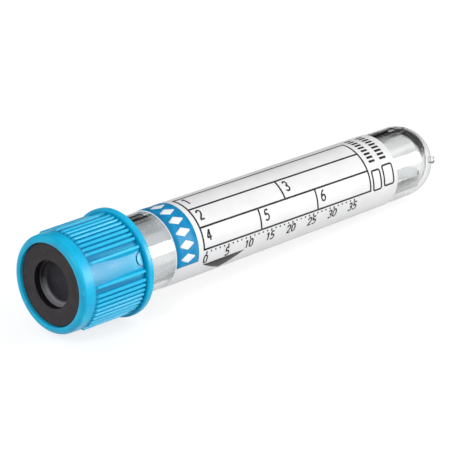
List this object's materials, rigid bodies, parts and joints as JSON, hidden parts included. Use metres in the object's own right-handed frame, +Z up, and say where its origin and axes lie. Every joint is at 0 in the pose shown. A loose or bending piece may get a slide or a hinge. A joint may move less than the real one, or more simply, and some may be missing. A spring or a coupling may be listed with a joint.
{
  "type": "blood collection tube",
  "caption": "Capped clear double-walled blood collection tube with a ribbed twist-off cap, pierceable stopper and wrap label, lying on its side.",
  "frame": {"origin": "on the surface the tube lies on, under the middle of its bounding box", "axes": "+X along the tube from the cap to the closed end, level; +Z up; the tube's own axis dips 2.4 degrees towards the closed end, because the cap's lip is wider than the tube"},
  "size_m": [0.087, 0.0178, 0.0179],
  "materials": {
    "cap_blue": "satin moulded polyethylene, sky blue",
    "ring_black": "matt moulded plastic, black",
    "stopper_rubber": "matt dark grey butyl rubber",
    "tube_clear": "clear polished moulded plastic",
    "liner_clear": "clear moulded plastic, slightly hazy",
    "additive_liquid": "clear watery solution",
    "label_paper": "smooth white printed label stock"
  },
  "bodies": {
    "tube": {"outer_tube": "tube_clear", "liner_tube": "liner_clear", "additive": "additive_liquid", "label": "label_paper"},
    "stopper": {"stopper": "stopper_rubber"},
    "cap": {"cap_shell": "cap_blue", "cap_ring": "ring_black"}
  },
  "joints": [
    {"name": "cap_lift", "type": "slide", "parent": "tube", "child": "stopper", "axis": [-0.9991, 0, 0.0414], "range_m": [0, 0.013]},
    {"name": "cap_turn", "type": "hinge", "parent": "stopper", "child": "cap", "pos_m": [-0.03667, 0, 0.00924], "axis": [-0.9991, 0, 0.0414], "range_deg": [0, 721]}
  ],
  "couplings": [
    {"joint": "cap_turn", "follows": "cap_lift", "rad_per_m": 966.64}
  ]
}
